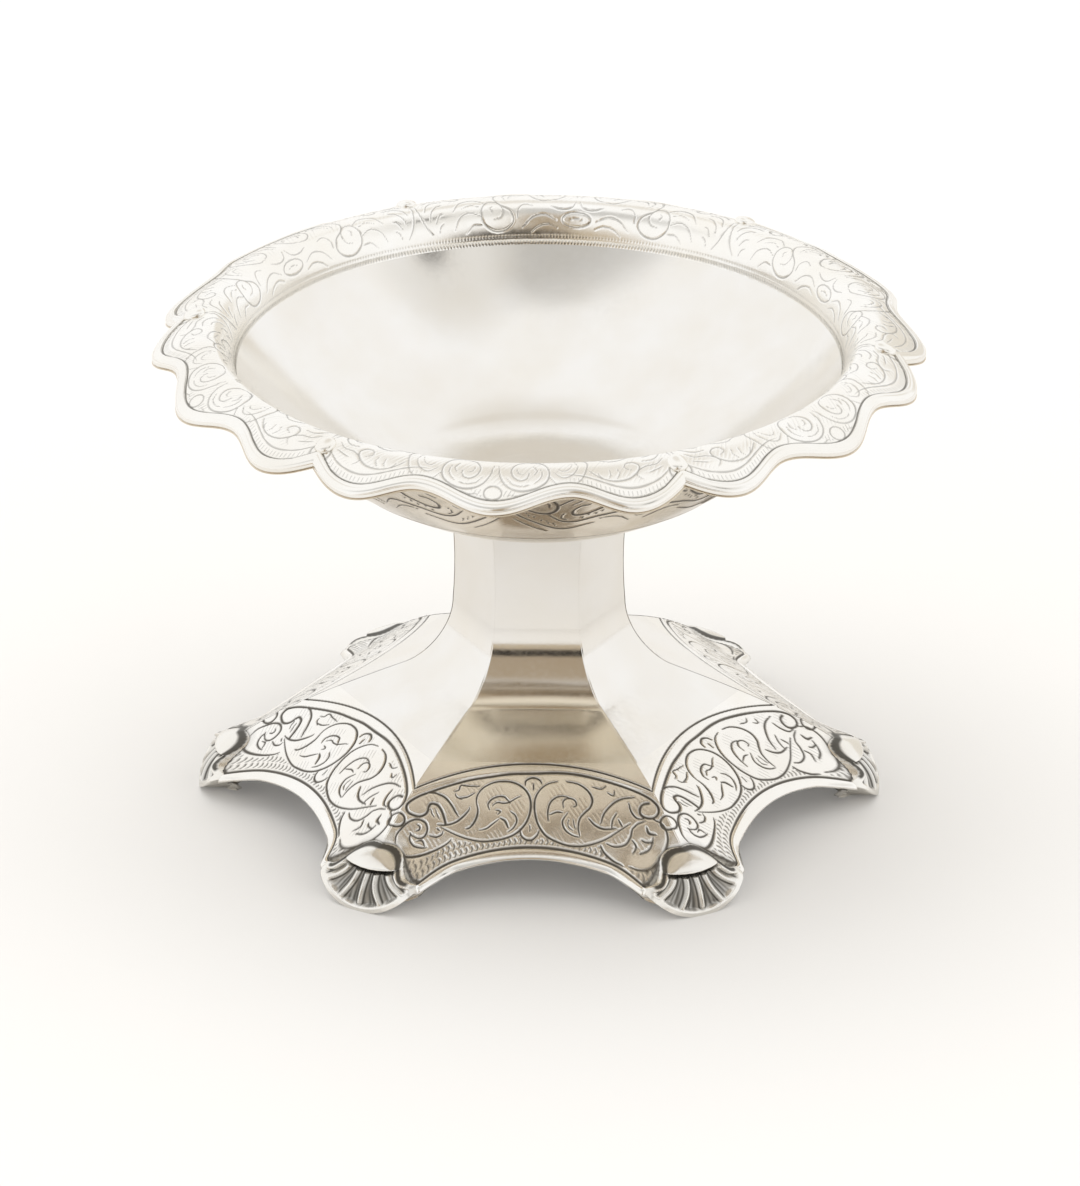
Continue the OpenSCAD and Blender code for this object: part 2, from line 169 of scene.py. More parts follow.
def new_piece(name, grids, nodes, material, grooves=None, flip=False):
    """One mesh from grids of points; grooves holds one number a point, 1 in the bottom of a cut; on the foot
    panels it also holds painted shade beside the shells.
    """
    points, quads, cuts, start = [], [], [], 0
    for k, grid in enumerate(grids):
        rows, cols = grid.shape[:2]
        i = np.arange((rows - 1) * cols).reshape(rows - 1, cols)[:, :-1].ravel() + start
        quads.append(np.stack([i, i + 1, i + cols + 1, i + cols], -1))
        points.append(grid.reshape(-1, 3))
        cuts.append(np.zeros(rows * cols) if grooves is None or grooves[k] is None else grooves[k].ravel())
        start += rows * cols
    points, quads, cuts = np.vstack(points), np.vstack(quads), np.concatenate(cuts)
    if flip:
        quads = quads[:, ::-1]
    keys = np.round(points * 2e4).astype(np.int64)
    _, first, back = np.unique(keys, axis=0, return_index=True, return_inverse=True)
    back = back.ravel()
    points, cuts, quads = points[first], cuts[first], back[quads]
    mesh = bpy.data.meshes.new(name)
    mesh.vertices.add(len(points))
    mesh.vertices.foreach_set("co", (points * MM).astype(np.float32).ravel())
    mesh.loops.add(quads.size)
    mesh.loops.foreach_set("vertex_index", quads.ravel().astype(np.int32))
    mesh.polygons.add(len(quads))
    mesh.polygons.foreach_set("loop_start", np.arange(0, quads.size, 4, dtype=np.int32))
    mesh.update(calc_edges=True)
    mesh.validate()
    mesh.shade_smooth()
    groove_and_shade = mesh.attributes.new("groove_and_shade", "FLOAT", "POINT")
    groove_and_shade.data.foreach_set("value", cuts.astype(np.float32))
    piece = bpy.data.objects.new(name, mesh)
    bpy.context.scene.collection.objects.link(piece)
    mesh.materials.append(material)
    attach(piece, "root")
    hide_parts(*nodes)


def turned(grid, angle):
    c, s = math.cos(angle), math.sin(angle)
    x, y, z = grid[..., 0], grid[..., 1], grid[..., 2]
    return np.stack([c * x - s * y, s * x + c * y, z], -1)


def six_times(grid):
    return [turned(grid, STEP * k) for k in range(SIDES)]


def closed_round(sixth, cut):
    """One sixth of the bowl and its cuts, repeated into one closed grid each."""
    whole = np.concatenate([part[:, :-1] for part in six_times(sixth)] + [sixth[:, :1]], 1)
    return [whole], [np.concatenate([cut[:, :-1]] * SIDES + [cut[:, :1]], 1)]


# Engraving: strokes in millimetres on the flat plan of a surface
class Strokes:
    def __init__(self):
        self.points = []
        self.widths = []

    def line(self, points, width=0.13, taper=True):
        p = smooth_line(points)
        t = np.linspace(0, 1, len(p))
        w = width * (0.45 + 0.55 * np.sin(np.pi * t) ** 0.6) if taper else np.full(len(p), width)
        self.points.append(p)
        self.widths.append(w)

    def ring(self, x, y, radius, width=0.12):
        a = np.linspace(0, math.tau, 33)
        self.line(np.stack([x + radius * np.cos(a), y + radius * np.sin(a)], -1), width, False)

    def mirror(self):
        """Repeats every stroke on the other side of x = 0."""
        for p, w in list(zip(self.points, self.widths)):
            self.points.append(p * [-1, 1])
            self.widths.append(w)

    def cut(self, x, y, bold=1.0):
        """Depth of the cuts, 0 to 1, at each point of two arrays; bold widens every stroke."""
        points = np.vstack(self.points)
        widths = np.concatenate(self.widths) * bold
        tree = KDTree(len(points))
        for k, (a, b) in enumerate(points):
            tree.insert((a, b, 0), k)
        tree.balance()
        out = np.zeros(x.size)
        reach = widths.max() * FADE
        for k, (a, b) in enumerate(zip(x.ravel(), y.ravel())):
            for _, i, d in tree.find_n((a, b, 0), 2):
                if d < reach:
                    out[k] = max(out[k], 1 - (d / (FADE * widths[i])) ** 2)
        return out.reshape(x.shape)


# Nodes that the materials and the room share
def maths(tree, operation, first, second):
    """Maths node on two inputs, each a number or another node's output."""
    n = tree.nodes.new("ShaderNodeMath")
    n.operation = operation
    for socket, value in zip(n.inputs, (first, second)):
        if isinstance(value, (int, float)):
            socket.default_value = value
        else:
            tree.links.new(value, socket)
    return n.outputs[0]


def ranged(tree, value, low, high, to_low, to_high, kind="LINEAR"):
    n = tree.nodes.new("ShaderNodeMapRange")
    n.interpolation_type = kind
    tree.links.new(value, n.inputs["Value"])
    for key, number in zip(("From Min", "From Max", "To Min", "To Max"), (low, high, to_low, to_high)):
        n.inputs[key].default_value = number
    return n.outputs["Result"]


def blend(tree, share, first, second):
    """Mix of two colours, each three numbers or another node's output."""
    n = tree.nodes.new("ShaderNodeMix")
    n.data_type = "RGBA"
    tree.links.new(share, n.inputs["Factor"])
    for socket, colour in ((n.inputs[6], first), (n.inputs[7], second)):
        if isinstance(colour, tuple):
            socket.default_value = (*colour, 1)
        else:
            tree.links.new(colour, socket)
    return n.outputs[2]


# Materials
WORN, STAINED = (0.97, 0.955, 0.925), (0.9, 0.87, 0.82)


def silver(name, tint, oxide, rough, dents, grain):
    """Silver of a tint, with oxide in its cuts, a least roughness, and waves and grain this deep in mm; the
    oxide colour also paints shade where the groove attribute carries it.
    """
    material = bpy.data.materials.new(name)
    material.use_nodes = True
    tree = material.node_tree
    nodes, link = tree.nodes, tree.links.new
    shader = nodes["Principled BSDF"]
    shader.inputs["Metallic"].default_value = 1
    place = nodes.new("ShaderNodeTexCoord").outputs["Object"]

    def noise(scale, detail=3):
        n = nodes.new("ShaderNodeTexNoise")
        n.inputs["Scale"].default_value = scale
        n.inputs["Detail"].default_value = detail
        link(place, n.inputs["Vector"])
        return n.outputs["Fac"]

    def bump(depth, height):
        n = nodes.new("ShaderNodeBump")
        n.inputs["Strength"].default_value = 1
        n.inputs["Distance"].default_value = depth * MM
        link(height, n.inputs["Height"])
        return n

    groove_and_shade = nodes.new("ShaderNodeAttribute")
    groove_and_shade.attribute_name = "groove_and_shade"
    cut = groove_and_shade.outputs["Fac"]
    worn = ranged(tree, noise(140), 0.35, 0.7, 0, 1)
    stain = ranged(tree, noise(55), 0.45, 0.75, 0, 0.5)
    bright = blend(tree, worn, tint, tuple(c * k for c, k in zip(tint, WORN)))
    bright = blend(tree, stain, bright, tuple(c * k for c, k in zip(tint, STAINED)))
    # Oxide colour where the attribute is high: in the cuts, and on the foot panels also painted shade beside
    # the shells
    link(blend(tree, ranged(tree, cut, 0.1, 0.8, 0, 0.9), bright, oxide), shader.inputs["Base Color"])
    grains = noise(1900, 2)
    rough_face = ranged(tree, grains, 0.3, 0.7, rough, rough + 0.06)
    link(maths(tree, "ADD", rough_face, ranged(tree, cut, 0.1, 1, 0, 0.3)), shader.inputs["Roughness"])
    soft, fine = bump(dents, noise(75, 2)), bump(grain, grains)
    link(soft.outputs["Normal"], fine.inputs["Normal"])
    link(fine.outputs["Normal"], shader.inputs["Normal"])
    return material


polished = silver("polished_silver_look", (0.89, 0.875, 0.85), (0.09, 0.08, 0.065), 0.1, 0.12, 0.002)
chased = silver("chased_silver_look", (0.94, 0.925, 0.895), (0.055, 0.045, 0.03), 0.17, 0.1, 0.004)
chased_rim = silver("chased_rim_look", (0.96, 0.95, 0.925), (0.2, 0.19, 0.17), 0.15, 0.05, 0.003)
tarnished = silver("tarnished_silver_look", (0.74, 0.67, 0.57), (0.05, 0.04, 0.03), 0.15, 0.1, 0.004)
# Painted shade: a darker, warmer tint for the bowl's bottom round the pillar, standing in for the shade under
# the bowl
painted_shade_silver = silver("painted_shade_silver_look", (0.93, 0.87, 0.75), (0.05, 0.04, 0.03), 0.15, 0.1, 0.004)
border = silver("border_silver_look", (0.95, 0.94, 0.915), (0.08, 0.07, 0.06), 0.14, 0.05, 0.002)
cast = silver("cast_silver_look", (0.9, 0.885, 0.85), (0.05, 0.045, 0.035), 0.2, 0.06, 0.006)


# Bowl: section of the upper face
def wall_z(u):
    return FLOOR_Z + (MOUTH_Z - FLOOR_Z) * (0.45 * u + 0.55 * u * u)


u = np.linspace(0, 1, 60)
wall = np.stack([FLOOR_R + (MOUTH_R - FLOOR_R) * u, wall_z(u)], -1)
crest_run = CREST_R - MOUTH_R
rise = bend((MOUTH_R, MOUTH_Z), (MOUTH_R + 0.19 * crest_run, MOUTH_Z + 0.56 * CREST_RISE),
            (CREST_R - 0.5 * crest_run, CREST_Z), (CREST_R, CREST_Z))
edge_run, edge_z = EDGE_R - CREST_R, CREST_Z - EDGE_DROP
fall = bend((CREST_R, CREST_Z), (CREST_R + 0.35 * edge_run, CREST_Z),
            (EDGE_R - 0.35 * edge_run, edge_z + 0.42 * EDGE_DROP), (EDGE_R, edge_z))
rim_line = joined(rise, fall)
rim_along = lengths(rim_line)


def rim_out(share):
    """Radius of the rim's outline at a share of one sixth, 0 to 1."""
    keys = np.array([NOTCH_R, SIDE_LOBE_R, HOLLOW_R, LOBE_R, HOLLOW_R, SIDE_LOBE_R, NOTCH_R])
    k = np.clip(np.searchsorted(LOBE_PLACES, share, "right") - 1, 0, 5)
    t = (share - LOBE_PLACES[k]) / (LOBE_PLACES[k + 1] - LOBE_PLACES[k])
    first, last, between = np.sin(np.pi / 2 * t), 1 - np.cos(np.pi / 2 * t), (1 - np.cos(np.pi * t)) / 2
    eased = np.where(k == 0, first, np.where(k == 5, last, between))
    return keys[k] + (keys[k + 1] - keys[k]) * eased - RIM_INSET


def polar(r, z, angle):
    return np.stack([r * np.cos(angle), r * np.sin(angle), z + 0 * angle], -1)


def full_turn(count):
    return np.linspace(0, math.tau, count + 1)


# Inside of the bowl, with the raised disc in its floor
disc_z = FLOOR_Z + DISC_RISE
disc_edge, disc_end = DISC_R - 0.35, DISC_R + 0.1
disc = joined(bend((0.01, disc_z), (3, disc_z), (5, disc_z), (DISC_R - 0.9, disc_z), 8),
              bend((DISC_R - 0.9, disc_z), (disc_edge, disc_z), (disc_edge, FLOOR_Z), (disc_end, FLOOR_Z), 8))
foot_run = 2.4
foot_of_wall = bend((disc_end, FLOOR_Z), (11, FLOOR_Z), (FLOOR_R - 1.4, FLOOR_Z),
                    (FLOOR_R + foot_run, wall_z(foot_run / (MOUTH_R - FLOOR_R))), 14)
inside = joined(disc, foot_of_wall, wall[wall[:, 0] > FLOOR_R + foot_run])
bowl_grid = polar(inside[:, :1], inside[:, 1:], full_turn(288)[None, :])
new_piece("bowl_inside", [bowl_grid], ["bowl"], polished, flip=True)

# Upper face of the rim, engraved
cols = 310
share = np.linspace(0, 1, cols + 1)
out_r = rim_out(share)
wide = WIRE_W + WIRE_FLARE * np.clip(1 - np.minimum(share, 1 - share) / FLARE_SHARE, 0, 1)
rows = 97
edge_at = np.interp(out_r, rim_line[:, 0], rim_along)
down = np.linspace(0, 1, rows)[:, None] * edge_at[None, :]
rim_flat = at(rim_line, down)
mid_l = STEP * 40
plan_x = (share * mid_l)[None, :] + 0 * down

half_l = mid_l / 2
SHADE_PITCH, MILLED_PITCH, GROUND_PITCH = mid_l / 90, mid_l / 96, mid_l / 72
rim_strokes = Strokes()
# Two round scrolls that meet in the middle of each length
rim_strokes.line([(0.3, 6.6), (0.5, 8.0), (1.1, 9.3), (2.1, 10.1), (3.4, 10.3), (4.8, 9.8), (5.8, 8.9),
                  (6.1, 7.6), (5.7, 6.3), (4.7, 5.5), (3.5, 5.5)], 0.12)
rim_strokes.line([(3.5, 5.5), (2.4, 6.0), (1.8, 7.1), (2.0, 8.2), (2.8, 8.8), (3.6, 8.5), (3.8, 7.6)], 0.1)
rim_strokes.line([(2.4, 7.0), (2.6, 7.7), (3.1, 7.9)], 0.07)
rim_strokes.line([(4.4, 8.0), (4.7, 7.3), (4.3, 6.5)], 0.08)
rim_strokes.line([(4.4, 9.2), (5.0, 8.6), (5.3, 7.8), (5.1, 7.0)], 0.07)
rim_strokes.line([(1.3, 8.4), (2.0, 9.3), (3.0, 9.6), (4.0, 9.4)], 0.07)
rim_strokes.line([(0.2, 5.4), (0.8, 4.4), (2.2, 4.2), (3.4, 4.6)], 0.09)
# Stem that runs out under the border, with its leaves
rim_strokes.line([(6.1, 8.2), (7.0, 9.4), (8.4, 9.6), (9.6, 8.8), (10.3, 7.4), (10.6, 6.0), (9.9, 4.9),
                  (8.6, 4.0), (8.3, 2.8), (9.3, 1.8), (10.9, 1.7), (12.2, 2.7), (12.4, 4.2), (11.6, 5.3),
                  (10.3, 5.2), (9.6, 4.2), (10.0, 3.3), (10.9, 3.1)], 0.1)
rim_strokes.line([(6.6, 7.6), (7.6, 8.4), (8.7, 8.0), (9.4, 6.8), (9.2, 5.6)], 0.08)
rim_strokes.line([(7.0, 7.0), (7.8, 7.4), (8.5, 6.9), (8.8, 6.1)], 0.06)
rim_strokes.line([(11.0, 3.9), (11.2, 4.4), (10.9, 4.8)], 0.07)
rim_strokes.line([(12.0, 5.3), (13.4, 6.0), (15.0, 5.6), (16.1, 4.4)], 0.09)
rim_strokes.line([(12.6, 3.6), (14.0, 4.1), (15.4, 3.5), (16.1, 2.2)], 0.08)
rim_strokes.line([(12.3, 2.4), (13.6, 2.5), (14.6, 1.6)], 0.07)
rim_strokes.line([(12.6, 4.8), (13.8, 5.1), (14.9, 4.7)], 0.06)
# Leaf that closes on the bud at the notch
rim_strokes.line([(10.7, 7.6), (11.8, 8.7), (13.2, 9.3), (14.8, 9.2), (16.0, 8.4), (16.5, 7.4), (15.9, 6.7),
                  (15.0, 6.8), (14.8, 7.5), (15.4, 7.9)], 0.11)
rim_strokes.line([(12.2, 9.0), (11.7, 8.4), (11.7, 7.8)], 0.08)
rim_strokes.line([(12.7, 8.9), (13.0, 8.3), (13.0, 7.6)], 0.07)
rim_strokes.line([(13.6, 9.0), (14.0, 8.3), (13.9, 7.6)], 0.07)
rim_strokes.line([(16.6, 9.5), (16.0, 8.9), (16.2, 8.2), (17.2, 7.6), (18.6, 7.4), (19.6, 6.6)], 0.09)
rim_strokes.line([(16.9, 8.6), (18.0, 8.4), (19.2, 7.9)], 0.07)
rim_strokes.line([(16.9, 6.6), (18.2, 6.6), (19.2, 5.9), (19.8, 4.8)], 0.09)
rim_strokes.line([(17.0, 5.6), (18.0, 5.5), (18.9, 4.7), (19.3, 3.6)], 0.08)
rim_strokes.line([(17.2, 4.4), (18.0, 4.1), (18.6, 3.2)], 0.07)
rim_strokes.line([(17.4, 3.2), (18.0, 2.8), (18.3, 2.0)], 0.07)
rim_strokes.line([(19.2, 1.8), (20.1, 3.2), (20.6, 5.0), (20.8, 6.8)], 0.09)
# Small strokes round the oval on the inner slope
rim_strokes.line([(2.7, 2.9), (4.2, 3.6), (5.8, 3.2), (7.0, 2.0)], 0.08)
rim_strokes.line([(2.4, 1.9), (3.8, 2.4), (5.2, 2.0), (6.0, 1.3)], 0.07)
rim_strokes.line([(5.6, 4.6), (6.8, 4.9), (7.6, 4.2), (7.7, 3.2)], 0.07)
rim_strokes.line([(1.3, 11.1), (2.0, 10.9), (3.2, 11.2)], 0.07)
rim_strokes.line([(7.4, 10.0), (8.8, 10.3), (10.2, 9.6)], 0.07)
rim_strokes.mirror()
rim_strokes.ring(0, 10.7, 0.95, 0.11)
oval = np.linspace(0, math.tau, 33)
rim_strokes.line(np.stack([1.9 * np.cos(oval), 3.0 + 0.9 * np.sin(oval)], -1), 0.09, False)
rim_strokes.line([(-0.9, 3.0), (0, 3.15), (0.9, 3.0)], 0.07)
for notch in (-half_l, half_l):
    rim_strokes.ring(notch, 9.0, 1.25, 0.13)


def stripe(value, place, width):
    return np.clip(1 - ((value - place) / width) ** 2, 0, 1)


def dashes(along, pitch, share_on=0.45):
    f = along / pitch
    return np.clip(1 - (np.abs(f - np.round(f)) / (share_on / 2)) ** 2, 0, 1)


plan_x = plan_x - half_l
rim_cut = 0.62 * rim_strokes.cut(plan_x, down)
inward = out_r[None, :] - rim_flat[..., 0]
# Lines along the border, and the short strokes that shade it
rim_cut = np.maximum(rim_cut, stripe(inward, wide[None, :] + 0.12, 0.14))
second = ease((np.abs(plan_x) - 6.5) / 3) * ease((20.6 - np.abs(plan_x)) / 1.5)
rim_cut = np.maximum(rim_cut, 0.65 * second * stripe(inward, wide[None, :] + 1.25, 0.11))
shaded = ease((wide[None, :] + 1.0 - inward) / 0.2) * ease((inward - wide[None, :] - 0.25) / 0.1)
rim_cut = np.maximum(rim_cut, 0.4 * shaded * second * dashes(plan_x, SHADE_PITCH))
near_ring = ease((2.6 - np.abs(plan_x)) / 0.5) * ease((down - 10.1) / 0.3)
near_ring = near_ring * (np.hypot(plan_x, down - 10.75) > 1.2)
in_from_wire = ease((inward - wide[None, :] - 0.25) / 0.2)
rim_cut = np.maximum(rim_cut, 0.45 * near_ring * in_from_wire * dashes(plan_x + 0.4 * down, SHADE_PITCH))
# Two rows of milled marks at the mouth
rim_cut = np.maximum(rim_cut, 0.5 * stripe(down, 0.3, 0.3) * dashes(plan_x, MILLED_PITCH, 0.6))
milled = dashes(plan_x + MILLED_PITCH / 2, MILLED_PITCH, 0.5)
rim_cut = np.maximum(rim_cut, 0.35 * stripe(down, 1.0, 0.22) * milled)
# Fine strokes that shade the ground between the leaves
ground = 0.22 * ease((down - 4.5) / 1.5) * ease((inward - wide[None, :] - 1.4) / 0.4)
patches = 0.5 + 0.5 * np.sin(plan_x * 1.7 + 2.0 * np.sin(down))
rim_cut = np.maximum(rim_cut, ground * dashes(plan_x + 0.7 * down, GROUND_PITCH, 0.5) * patches)
sixth = polar(rim_flat[..., 0], rim_flat[..., 1], (share * STEP)[None, :] + BOWL_TURN)
sixth = sixth - grid_normals(sixth) * (RIM_DEPTH * rim_cut)[..., None]
whole, whole_cut = closed_round(sixth, rim_cut)
new_piece("bowl_rim", whole, ["bowl"], chased_rim, whole_cut, flip=True)

# Underside of the bowl and rim
under = beside(joined(inside[inside[:, 0] > 9], rise, fall), GAUGE)
under = under[(under[:, 0] > 9) & (under[:, 1] > BOWL_Z - 0.01)]
under = joined(np.array([[9.0, BOWL_Z], [9.5, BOWL_Z]]), under[under[:, 0] > 9.6])
turn_at = lengths(under)
keep = np.interp(out_r[::2], under[:, 0], turn_at)
WALL_START = 21.0
start_at = np.interp(WALL_START, under[:, 0], turn_at)
lower = at(under, np.linspace(0, start_at, 30))
bottom_grid = polar(lower[:, :1], lower[:, 1:], full_turn(192)[None, :])
# The bowl's bottom round the pillar gets the darker tint that paints the shade under the bowl
new_piece("bowl_bottom", [bottom_grid], ["bowl"], painted_shade_silver)
down = start_at + np.linspace(0, 1, 150)[:, None] * (keep - start_at)[None, :]
sixth = at(under, down)
leaves = Strokes()
# Scrolls on the wall: distance from the middle of each length, distance down the wall
leaves.line([(0.8, 5.0), (1.8, 3.6), (3.8, 2.7), (6.0, 3.1), (7.4, 4.7), (7.3, 6.8), (5.9, 8.2), (3.9, 8.4),
             (2.6, 7.4), (2.5, 6.0), (3.4, 5.2), (4.5, 5.5)], 0.3)
leaves.line([(7.6, 5.2), (9.3, 3.6), (11.8, 3.1), (14.2, 4.2), (15.2, 6.4), (14.4, 8.8), (12.2, 9.8),
             (10.2, 9.0), (9.8, 7.4), (10.8, 6.4), (12.0, 6.8)], 0.3)
leaves.line([(2.6, 4.6), (4.6, 3.9), (6.2, 4.8), (6.5, 6.4)], 0.2)
leaves.line([(9.6, 5.2), (11.6, 4.4), (13.4, 5.4), (13.8, 7.2)], 0.2)
leaves.line([(15.0, 4.6), (16.8, 3.2), (19.0, 3.0), (20.8, 4.2)], 0.27)
leaves.line([(15.6, 6.6), (17.6, 5.0), (19.6, 5.2), (20.8, 6.6)], 0.25)
leaves.line([(15.4, 8.6), (17.4, 7.2), (19.4, 7.6), (20.8, 9.2)], 0.25)
leaves.line([(6.4, 8.6), (8.4, 10.6), (11.4, 12.0), (15.0, 12.0), (18.2, 10.8), (20.6, 11.6)], 0.27)
leaves.line([(0.6, 9.6), (2.6, 11.4), (5.6, 12.8), (9.4, 14.2), (13.6, 14.6)], 0.27)
leaves.line([(1.0, 12.4), (3.2, 14.2), (6.4, 15.4)], 0.18)
leaves.line([(8.6, 7.8), (8.2, 9.2), (9.2, 10.4)], 0.14)
leaves.line([(0.6, 7.4), (1.6, 8.6), (1.2, 9.4)], 0.14)
leaves.line([(14.2, 13.4), (17.0, 13.0), (19.8, 13.8)], 0.16)
for k in range(5):
    leaves.line([(3.1 + 1.0 * k, 9.4 + 0.5 * k), (3.4 + 1.0 * k, 10.4 + 0.5 * k)], 0.11)
    leaves.line([(11.4 + 0.9 * k, 10.5 - 0.2 * k), (11.6 + 0.9 * k, 11.4 - 0.2 * k)], 0.11)
leaves.mirror()
under_x = (share[::2] * mid_l - half_l)[None, :] + 0 * down
from_edge = keep[None, :] - down
LEAF_EDGE, LEAF_SQUEEZE, LEAF_TOP = 11.5, 1.12, 2.7
leaf_cut = leaves.cut(under_x, (from_edge - LEAF_EDGE) * LEAF_SQUEEZE + LEAF_TOP)
leaf_cut = np.maximum(leaf_cut, 0.5 * stripe(from_edge, 11.2, 0.3))
leaf_cut = np.maximum(leaf_cut, 0.7 * stripe(from_edge, 1.7, 0.24))
leaf_cut = np.maximum(leaf_cut, 0.6 * stripe(sixth[..., 0], WALL_START + 2.2, 0.25))
leaf_cut = leaf_cut * ease((sixth[..., 0] - WALL_START - 1.0) / 0.8)
sixth = polar(sixth[..., 0], sixth[..., 1], (share[::2] * STEP)[None, :] + BOWL_TURN)
sixth = sixth - grid_normals(sixth) * (LEAF_DEPTH * leaf_cut)[..., None]
whole, whole_cut = closed_round(sixth, leaf_cut)
new_piece("bowl_underside", whole, ["bowl"], tarnished, whole_cut)

# Border wires of the rim
profile = np.array([(1.0, -0.12), (0.985, 0.05), (0.94, 0.17), (0.84, 0.235), (0.74, 0.245), (0.66, 0.2),
                    (0.6, 0.2), (0.52, 0.25), (0.36, 0.25), (0.2, 0.2), (0.08, 0.08), (0.0, -0.12),
                    (0.0, -0.36), (0.06, -0.56), (0.2, -0.66)])
r = out_r[None, :] - profile[:, :1] * wide[None, :]
z = np.interp(r, rim_line[:, 0], rim_line[:, 1]) + profile[:, 1:]
for k in range(SIDES):
    ring = polar(r, z, (share * STEP)[None, :] + BOWL_TURN + STEP * k)
    new_piece(f"rim_border_{k + 1}", [ring], [f"rim_wire_{k + 1}"], border)

# Buds over the notches, leaning with the rim
low_z, bud_z, high_z = np.interp([BUD_R - 1, BUD_R, BUD_R + 1], rim_line[:, 0], rim_line[:, 1])
lean = math.atan2(high_z - low_z, 2)
t = np.linspace(TINY, np.pi - TINY, 25)
a = full_turn(32)[None, :]
half = BUD_HALF_W * (np.sin(t) ** 0.7)[:, None]
x = -BUD_HALF_L * np.cos(t)[:, None] + 0 * a
y, z = half * np.cos(a), BUD_FLATNESS * half * np.sin(a)
bud = np.stack([BUD_R + x * math.cos(lean) - z * math.sin(lean), y,
                bud_z + x * math.sin(lean) + z * math.cos(lean)], -1)
for k in range(SIDES):
    new_piece(f"rim_pod_{k + 1}", [turned(bud, BOWL_TURN + STEP * k)],
              [f"rim_bud_{k + 1}"], border)


# Six-sided surfaces
def side_places(count, dense=0.2):
    """Shares across one side, -1 to 1, closer together at the arrises."""
    inner = np.linspace(-1 + dense / 8, 1 - dense / 8, count)
    ends = np.array([0, 0.25, 0.5, 0.75]) * dense / 8
    return np.concatenate([-1 + ends, inner, 1 - ends[::-1]])


def on_side(flat_r, z, across, arris=ARRIS):
    """Points on the side that faces -Y; across is -1 to 1 from arris to arris, which is rounded."""
    half = flat_r * math.tan(STEP / 2)
    x = across * half
    e = half - np.abs(x)
    touch = arris * math.tan(STEP / 4)
    phi = (STEP / 2) * np.clip(1 - e / touch, 0, 1)
    round_x = half - touch + arris * np.sin(phi)
    corner = e < touch
    x = np.where(corner, np.sign(across) * round_x, x)
    out = flat_r - np.where(corner, arris * (1 - np.cos(phi)), 0)
    return np.stack([x, -out, z + 0 * x], -1)


across = side_places(26, 0.6)[None, :]
share_up = np.linspace(0, 1, 61)
below = np.clip((WAIST_SHARE - share_up) / WAIST_SHARE, 0, 1)
above = np.clip((share_up - WAIST_SHARE) / (1 - WAIST_SHARE), 0, 1)
pillar_r = (PILLAR_WAIST_R + (PILLAR_FOOT_R - PILLAR_WAIST_R) * below ** 2
            + (PILLAR_TOP_R - PILLAR_WAIST_R) * above ** 2)
pillar_z = NECK_Z + (BOWL_Z - NECK_Z) * share_up
side = on_side((pillar_r * FLAT)[::-1, None], pillar_z[::-1, None], across)
new_piece("pillar_sides", six_times(side), ["pillar"], polished)

# Domed foot: section of a corner, then of a side
neck_run = (HOLLOW_END_R - PILLAR_FOOT_R) * 0.38
slope_run = (SHOULDER_R - HOLLOW_END_R) / 3
skirt_run = (BASE_R - SHOULDER_R) * 0.29
corner_line = joined(
    bend((PILLAR_FOOT_R, NECK_Z), (PILLAR_FOOT_R, NECK_Z - 0.48 * (NECK_Z - HOLLOW_END_Z)),
         (HOLLOW_END_R - neck_run, HOLLOW_END_Z + HOLLOW_FALL * neck_run), (HOLLOW_END_R, HOLLOW_END_Z)),
    bend((HOLLOW_END_R, HOLLOW_END_Z), (HOLLOW_END_R + slope_run, HOLLOW_END_Z - HOLLOW_FALL * slope_run),
         (SHOULDER_R - slope_run, SHOULDER_Z + SHOULDER_FALL * slope_run), (SHOULDER_R, SHOULDER_Z)),
    bend((SHOULDER_R, SHOULDER_Z), (SHOULDER_R + skirt_run, SHOULDER_Z - SHOULDER_FALL * skirt_run),
         (BASE_R, 0.52 * SHOULDER_Z), (BASE_R, 0)))
side_line = corner_line * [FLAT, 1]
side_along = lengths(side_line)
band_at = np.interp(BAND_R * FLAT, side_line[:, 0], side_along)
upper = at(side_line, np.linspace(0, band_at, 70))
side = on_side(upper[:, :1], upper[:, 1:], across)
new_piece("foot_dome", six_times(side), ["domed_foot"], polished)


def arch_z(x):
    """Height of the arch at a distance from its middle."""
    return ARCH_H - ARCH_R + np.sqrt(np.maximum(ARCH_R * ARCH_R - x * x, 0))


def flare(x, z):
    """How far the skirt runs out, square to its side, to meet the shells."""
    return RUN_OUT * ease((np.abs(x) - RUN_OUT_X) / RUN_OUT_W) * ease((RUN_OUT_Z - z) / RUN_OUT_H)


# Each side's engraved panel, from the band down to the arch
fine_across = side_places(276, 0.06)
ends = []
for a in fine_across:
    x = a * side_line[:, 0] * math.tan(STEP / 2)
    gap = side_line[:, 1] - np.maximum(arch_z(x), ARCH_LOW)
    low = np.argmax((gap <= 0) & (side_along > band_at))
    f = gap[low - 1] / (gap[low - 1] - gap[low])
    ends.append(side_along[low - 1] + f * (side_along[low] - side_along[low - 1]))
ends = np.array(ends)
rows = 116
down = band_at + np.linspace(0, 1, rows)[:, None] * (ends - band_at)[None, :]
flat_points = at(side_line, down)
panel = on_side(flat_points[..., 0], flat_points[..., 1], fine_across[None, :])
px, py = panel[..., 0], down - np.interp(PLAN_R * FLAT, side_line[:, 0], side_along)

strokes = Strokes()
